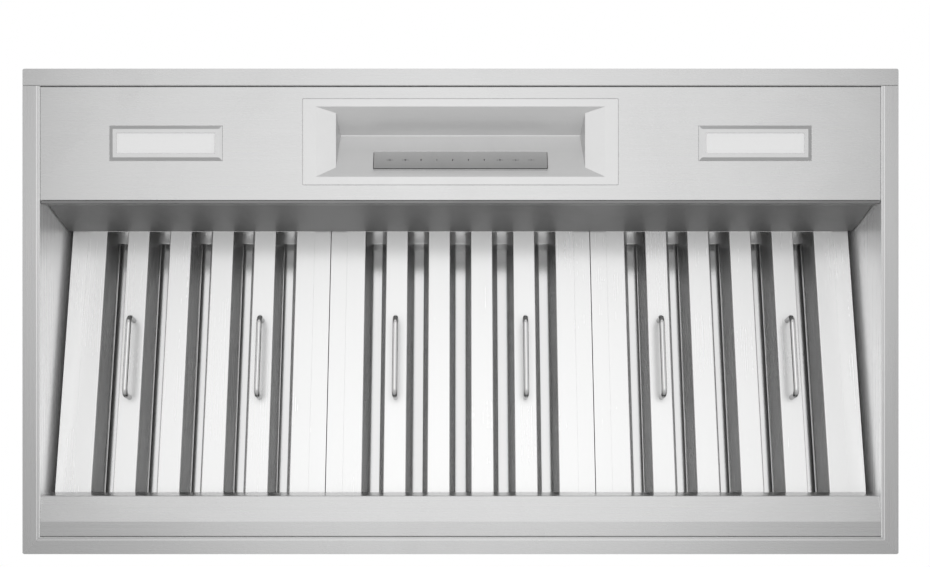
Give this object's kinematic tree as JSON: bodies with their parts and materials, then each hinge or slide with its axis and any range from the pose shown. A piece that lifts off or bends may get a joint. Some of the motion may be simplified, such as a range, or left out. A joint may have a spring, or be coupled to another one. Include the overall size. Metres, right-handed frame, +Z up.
{
  "type": "range hood insert",
  "caption": "Stainless range hood insert: flanged liner with a light and touch control panel, sloped baffle filters with bail handles, an internal blower and a damped duct collar.",
  "frame": {"origin": "centre of the rim, on the face that looks down into the room", "axes": "+X to the right along the length, +Y to the wall behind the cooktop, +Z up to the duct"},
  "size_m": [1.0256, 0.5684, 0.3548],
  "materials": {
    "liner_steel": "fine horizontal brushing, satin",
    "panel_steel": "fine horizontal brushing, satin",
    "filter_steel": "bright annealed, lightly brushed",
    "filter_floor": "bright annealed, glossy",
    "handle_steel": "polished",
    "light_trim": "satin",
    "lens": "frosted",
    "touch_strip": "dark satin, with printed marks",
    "galvanised": "zinc spangle",
    "blower_steel": "satin grey",
    "motor_paint": "satin black",
    "bare_steel": "ground",
    "capacitor_can": "satin",
    "module_case": "fine texture",
    "heat_sink": "bead blasted",
    "screw_steel": "zinc plated"
  },
  "bodies": {
    "liner": {"blower_motor": "motor_paint", "bracket_screws": "screw_steel", "capacitor_strap": "galvanised", "control_bezel": "panel_steel", "control_module": "module_case", "control_strip": "touch_strip", "cover_screws": "screw_steel", "damper_axle": "bare_steel", "damper_brackets": "galvanised", "duct_collar": "galvanised", "front_filter_channel": "galvanised", "front_wall": "liner_steel", "housing_rivets": "screw_steel", "inner_front_wall": "liner_steel", "junction_box": "galvanised", "junction_cover": "galvanised", "led_driver": "module_case", "left_inlet_ring": "blower_steel", "left_led_module": "heat_sink", "left_light_bezel": "light_trim", "left_light_lens": "lens", "left_scroll_plate": "blower_steel", "left_wall": "liner_steel", "light_panel": "panel_steel", "motor_bearings": "bare_steel", "motor_bracket": "blower_steel", "rear_rail": "liner_steel", "rear_wall": "liner_steel", "right_inlet_ring": "blower_steel", "right_led_module": "heat_sink", "right_light_bezel": "light_trim", "right_light_lens": "lens", "right_scroll_plate": "blower_steel", "right_wall": "liner_steel", "roof_screws": "screw_steel", "run_capacitor": "capacitor_can", "scroll_wrapper": "blower_steel", "top_panel": "galvanised"},
    "blower_rotor": {"impeller": "blower_steel", "motor_shaft": "bare_steel"},
    "front_damper": {"front_damper_flap": "galvanised"},
    "rear_damper": {"rear_damper_flap": "galvanised"},
    "left_filter": {"left_filter_back_baffles": "filter_floor", "left_filter_baffles": "filter_steel", "left_filter_frame": "filter_steel", "left_filter_handle_left": "handle_steel", "left_filter_handle_right": "handle_steel", "left_filter_handle_screws": "screw_steel"},
    "centre_filter": {"centre_filter_back_baffles": "filter_floor", "centre_filter_baffles": "filter_steel", "centre_filter_frame": "filter_steel", "centre_filter_handle_left": "handle_steel", "centre_filter_handle_right": "handle_steel", "centre_filter_handle_screws": "screw_steel"},
    "right_filter": {"right_filter_back_baffles": "filter_floor", "right_filter_baffles": "filter_steel", "right_filter_frame": "filter_steel", "right_filter_handle_left": "handle_steel", "right_filter_handle_right": "handle_steel", "right_filter_handle_screws": "screw_steel"}
  },
  "joints": [
    {"name": "left_filter_lift", "type": "slide", "parent": "liner", "child": "left_filter", "axis": [0, -0.974, 0.2265], "range_m": [0, 0.042]},
    {"name": "centre_filter_lift", "type": "slide", "parent": "liner", "child": "centre_filter", "axis": [0, -0.974, 0.2265], "range_m": [0, 0.042]},
    {"name": "right_filter_lift", "type": "slide", "parent": "liner", "child": "right_filter", "axis": [0, -0.974, 0.2265], "range_m": [0, 0.042]},
    {"name": "blower_spin", "type": "hinge", "parent": "liner", "child": "blower_rotor", "pos_m": [0, 0.06, 0.2196], "axis": [1, 0, 0], "continuous": true},
    {"name": "front_damper_swing", "type": "hinge", "parent": "liner", "child": "front_damper", "pos_m": [0, 0, 0.3208], "axis": [-1, 0, 0], "range_deg": [0, 80]},
    {"name": "rear_damper_swing", "type": "hinge", "parent": "liner", "child": "rear_damper", "pos_m": [0, 0, 0.3208], "axis": [1, 0, 0], "range_deg": [0, 80]}
  ]
}
